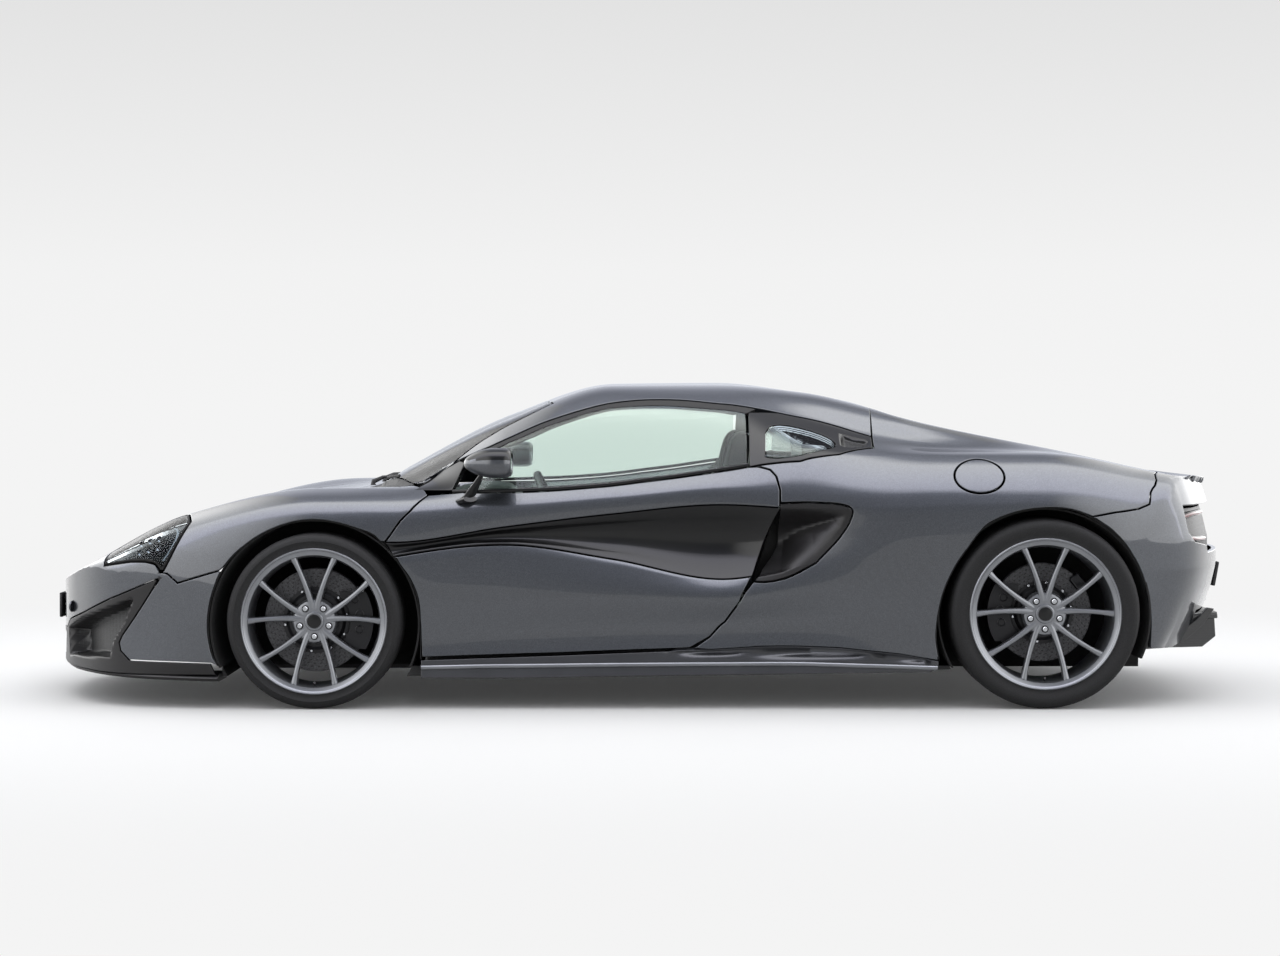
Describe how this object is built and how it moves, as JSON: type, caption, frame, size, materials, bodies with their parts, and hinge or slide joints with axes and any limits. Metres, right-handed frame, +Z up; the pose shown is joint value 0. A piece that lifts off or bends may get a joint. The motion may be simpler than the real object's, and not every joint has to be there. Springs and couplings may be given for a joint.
{
  "type": "mid-engined two-seat coupe car with dihedral doors",
  "caption": "Low mid-engined sports coupe on wide road tyres, with upward-swinging doors, front lid, raising rear wing, steering and turning wheels.",
  "frame": {"origin": "on the ground, at mid-length and mid-width", "axes": "+Z up, -Y towards the nose, +X towards the left side of the car"},
  "size_m": [2.09, 4.5195, 1.2],
  "materials": {
    "body_paint": "dark grey metallic paint under clear lacquer",
    "dark_trim": "satin dark grey composite",
    "black_trim": "moulded black",
    "glass": "clear, faint green tint",
    "lamp": "clear moulded lens",
    "seat_cover": "dark suede-like cloth",
    "wheel_metal": "satin dark grey lacquer",
    "tyre_rubber": "black",
    "brake_disc": "drilled carbon ceramic, dark",
    "chassis_metal": "cast and sawn, unpainted",
    "tub_carbon": "moulded carbon laminate"
  },
  "bodies": {
    "root": {"passenger_tub": "tub_carbon", "front_bumper": "body_paint", "front_splitter": "dark_trim", "headlamp_left": "lamp", "headlamp_right": "lamp", "front_fender_left": "body_paint", "front_fender_right": "body_paint", "cowl": "black_trim", "windscreen": "glass", "roof": "body_paint", "quarter_window_left": "glass", "quarter_window_right": "glass", "rear_window": "glass", "rear_quarter_left": "body_paint", "rear_quarter_right": "body_paint", "side_intake_left": "dark_trim", "side_intake_right": "dark_trim", "rear_deck": "body_paint", "rear_bumper": "body_paint", "diffuser": "dark_trim", "tail_lamps": "lamp", "side_skirt_left": "dark_trim", "side_skirt_right": "dark_trim", "underfloor": "black_trim", "seat_left": "seat_cover", "seat_right": "seat_cover", "dashboard": "black_trim", "front_subframe": "chassis_metal", "rear_subframe": "chassis_metal", "engine": "chassis_metal", "wishbones": "chassis_metal", "wheel_liners": "black_trim", "rear_knuckle_left": "chassis_metal", "rear_knuckle_right": "chassis_metal"},
    "door_left": {"door_left": "body_paint", "door_window_left": "glass", "mirror_left": "body_paint"},
    "door_right": {"door_right": "body_paint", "door_window_right": "glass", "mirror_right": "body_paint"},
    "bonnet": {"bonnet": "body_paint"},
    "rear_wing": {"rear_wing": "body_paint"},
    "fuel_flap": {"fuel_flap": "body_paint"},
    "front_upright_left": {"front_knuckle_left": "chassis_metal"},
    "front_upright_right": {"front_knuckle_right": "chassis_metal"},
    "steering_wheel": {"steering_wheel": "black_trim"},
    "front_wheel_left": {"front_rim_left": "wheel_metal", "front_tyre_left": "tyre_rubber", "front_brake_disc_left": "brake_disc"},
    "front_wheel_right": {"front_rim_right": "wheel_metal", "front_tyre_right": "tyre_rubber", "front_brake_disc_right": "brake_disc"},
    "rear_wheel_left": {"rear_rim_left": "wheel_metal", "rear_tyre_left": "tyre_rubber", "rear_brake_disc_left": "brake_disc"},
    "rear_wheel_right": {"rear_rim_right": "wheel_metal", "rear_tyre_right": "tyre_rubber", "rear_brake_disc_right": "brake_disc"}
  },
  "joints": [
    {"name": "steer_left", "type": "hinge", "parent": "root", "child": "front_upright_left", "pos_m": [0.768, -1.19, 0.321], "axis": [0, 0, 1], "range_deg": [-32, 32]},
    {"name": "steer_right", "type": "hinge", "parent": "root", "child": "front_upright_right", "pos_m": [-0.768, -1.19, 0.321], "axis": [0, 0, 1], "range_deg": [-32, 32]},
    {"name": "steering_wheel_turn", "type": "hinge", "parent": "root", "child": "steering_wheel", "pos_m": [0.37, -0.33, 0.69], "axis": [0, 0.9207, 0.3903], "range_deg": [-450, 450]},
    {"name": "front_wheel_left_spin", "type": "hinge", "parent": "front_upright_left", "child": "front_wheel_left", "pos_m": [0.84, -1.19, 0.321], "axis": [1, 0, 0], "continuous": true},
    {"name": "front_wheel_right_spin", "type": "hinge", "parent": "front_upright_right", "child": "front_wheel_right", "pos_m": [-0.84, -1.19, 0.321], "axis": [1, 0, 0], "continuous": true},
    {"name": "rear_wheel_left_spin", "type": "hinge", "parent": "root", "child": "rear_wheel_left", "pos_m": [0.81, 1.48, 0.348], "axis": [1, 0, 0], "continuous": true},
    {"name": "rear_wheel_right_spin", "type": "hinge", "parent": "root", "child": "rear_wheel_right", "pos_m": [-0.81, 1.48, 0.348], "axis": [1, 0, 0], "continuous": true},
    {"name": "door_left_open", "type": "hinge", "parent": "root", "child": "door_left", "pos_m": [0.892, -0.841, 0.728], "axis": [0.3508, -0.6314, -0.6916], "range_deg": [0, 75]},
    {"name": "door_right_open", "type": "hinge", "parent": "root", "child": "door_right", "pos_m": [-0.892, -0.841, 0.728], "axis": [0.3508, 0.6314, 0.6916], "range_deg": [0, 75]},
    {"name": "bonnet_open", "type": "hinge", "parent": "root", "child": "bonnet", "pos_m": [0, -1.11, 0.774], "axis": [-1, 0, 0], "range_deg": [0, 60]},
    {"name": "rear_wing_raise", "type": "hinge", "parent": "root", "child": "rear_wing", "pos_m": [0, 2.024, 0.84], "axis": [1, 0, 0], "range_deg": [0, 50]},
    {"name": "fuel_flap_open", "type": "hinge", "parent": "root", "child": "fuel_flap", "pos_m": [0.86953, 1.15, 0.8464], "axis": [0.7193, 0, -0.6947], "range_deg": [0, 90]}
  ],
  "couplings": [
    {"joint": "steer_right", "follows": "steer_left", "ratio": 1},
    {"joint": "steering_wheel_turn", "follows": "steer_left", "ratio": 14}
  ]
}
